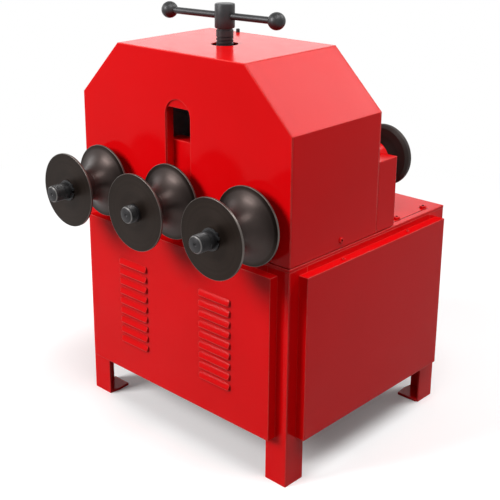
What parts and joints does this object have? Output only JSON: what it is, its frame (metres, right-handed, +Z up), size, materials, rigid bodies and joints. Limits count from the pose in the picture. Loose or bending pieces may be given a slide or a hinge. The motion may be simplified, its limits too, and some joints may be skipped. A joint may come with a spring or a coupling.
{
  "type": "tube bender",
  "caption": "Floor-standing electric roll bender: red louvred cabinet, peaked head, row of grooved rolls and a pressure screw with a cross bar that lowers the centre roll onto a tube.",
  "frame": {"origin": "on the floor under the middle of the whole object's box", "axes": "+Z up, +X to the right as seen from the front, -Y towards the operator, so the roll axes lie along Y"},
  "size_m": [0.536, 0.621, 0.7795],
  "materials": {
    "red_paint": "glossy red paint on folded sheet steel",
    "roll_steel": "turned and blackened steel with a soft sheen",
    "black_oxide": "black oxide on machined steel",
    "bright_steel": "plain machined steel",
    "bronze": "bronze bush",
    "cast_aluminium": "cast aluminium",
    "motor_grey": "grey paint",
    "black_plastic": "moulded black plastic"
  },
  "bodies": {
    "stand": {"leg_front_left": "red_paint", "leg_front_right": "red_paint", "leg_rear_left": "red_paint", "leg_rear_right": "red_paint", "foot_plates": "red_paint", "lower_rails": "red_paint", "upper_rails": "red_paint", "cabinet_top": "red_paint", "front_panel": "red_paint", "left_panel": "red_paint", "right_panel": "red_paint", "rear_panel": "red_paint", "panel_screws": "red_paint", "top_bolts": "red_paint", "head_front": "red_paint", "head_top": "red_paint", "head_left": "red_paint", "head_right": "red_paint", "head_rear": "red_paint", "cover_screws": "red_paint", "top_stud": "black_oxide", "front_bearing_plate": "red_paint", "rear_bearing_plate": "red_paint", "guide_posts": "bright_steel", "nut_bridge": "bright_steel", "shaft_bushes": "bronze", "gear_guard": "red_paint", "idler_axles": "bright_steel", "gearbox": "cast_aluminium", "motor": "motor_grey", "fan_cover": "black_plastic", "control_box": "motor_grey", "cable_gland": "black_plastic", "wheel_block": "red_paint", "wheel_axle": "bright_steel"},
    "left_roll": {"left_shaft": "black_oxide", "left_roll_front": "roll_steel", "left_roll_rear": "roll_steel", "left_ring": "black_oxide", "left_gear": "bright_steel"},
    "right_roll": {"right_shaft": "black_oxide", "right_roll_front": "roll_steel", "right_roll_rear": "roll_steel", "right_ring": "black_oxide", "right_gear": "bright_steel"},
    "slide": {"slide_block": "red_paint", "screw_cap": "bright_steel"},
    "centre_roll": {"centre_shaft": "black_oxide", "centre_roll_front": "roll_steel", "centre_roll_rear": "roll_steel", "centre_ring": "bright_steel"},
    "screw": {"pressure_screw": "black_oxide"},
    "handle": {"cross_bar": "black_oxide", "bar_balls": "black_oxide"},
    "left_idler_gear": {"left_idler": "bright_steel"},
    "right_idler_gear": {"right_idler": "bright_steel"},
    "pinion": {"drive_pinion": "bright_steel"},
    "wheel": {"rear_wheel": "roll_steel"}
  },
  "joints": [
    {"name": "left_roll_spin", "type": "hinge", "parent": "stand", "child": "left_roll", "pos_m": [-0.178, -0.1735, 0.456], "axis": [0, 1, 0], "continuous": true},
    {"name": "right_roll_spin", "type": "hinge", "parent": "stand", "child": "right_roll", "pos_m": [0.178, -0.1735, 0.456], "axis": [0, 1, 0], "continuous": true},
    {"name": "left_idler_spin", "type": "hinge", "parent": "stand", "child": "left_idler_gear", "pos_m": [-0.092, -0.1735, 0.456], "axis": [0, 1, 0], "continuous": true},
    {"name": "right_idler_spin", "type": "hinge", "parent": "stand", "child": "right_idler_gear", "pos_m": [0.092, -0.1735, 0.456], "axis": [0, 1, 0], "continuous": true},
    {"name": "pinion_spin", "type": "hinge", "parent": "stand", "child": "pinion", "pos_m": [0, -0.1735, 0.456], "axis": [0, 1, 0], "continuous": true},
    {"name": "slide_lift", "type": "slide", "parent": "stand", "child": "slide", "axis": [0, 0, 1], "range_m": [0, 0.135]},
    {"name": "centre_roll_spin", "type": "hinge", "parent": "slide", "child": "centre_roll", "pos_m": [0, -0.1735, 0.456], "axis": [0, 1, 0], "continuous": true},
    {"name": "screw_turn", "type": "hinge", "parent": "slide", "child": "screw", "pos_m": [0, -0.058, 0.456], "axis": [0, 0, 1], "range_deg": [0, 8100.5]},
    {"name": "bar_slide", "type": "slide", "parent": "screw", "child": "handle", "axis": [0.9981, 0.061, 0], "range_m": [-0.078, 0.096]},
    {"name": "wheel_spin", "type": "hinge", "parent": "stand", "child": "wheel", "pos_m": [0.178, -0.1735, 0.499], "axis": [0, 1, 0], "continuous": true}
  ],
  "couplings": [
    {"joint": "right_roll_spin", "follows": "left_roll_spin", "ratio": 1},
    {"joint": "left_idler_spin", "follows": "left_roll_spin", "ratio": -0.86957},
    {"joint": "pinion_spin", "follows": "left_roll_spin", "ratio": 0.86957},
    {"joint": "right_idler_spin", "follows": "left_roll_spin", "ratio": -0.86957},
    {"joint": "screw_turn", "follows": "slide_lift", "rad_per_m": 1047.2}
  ]
}
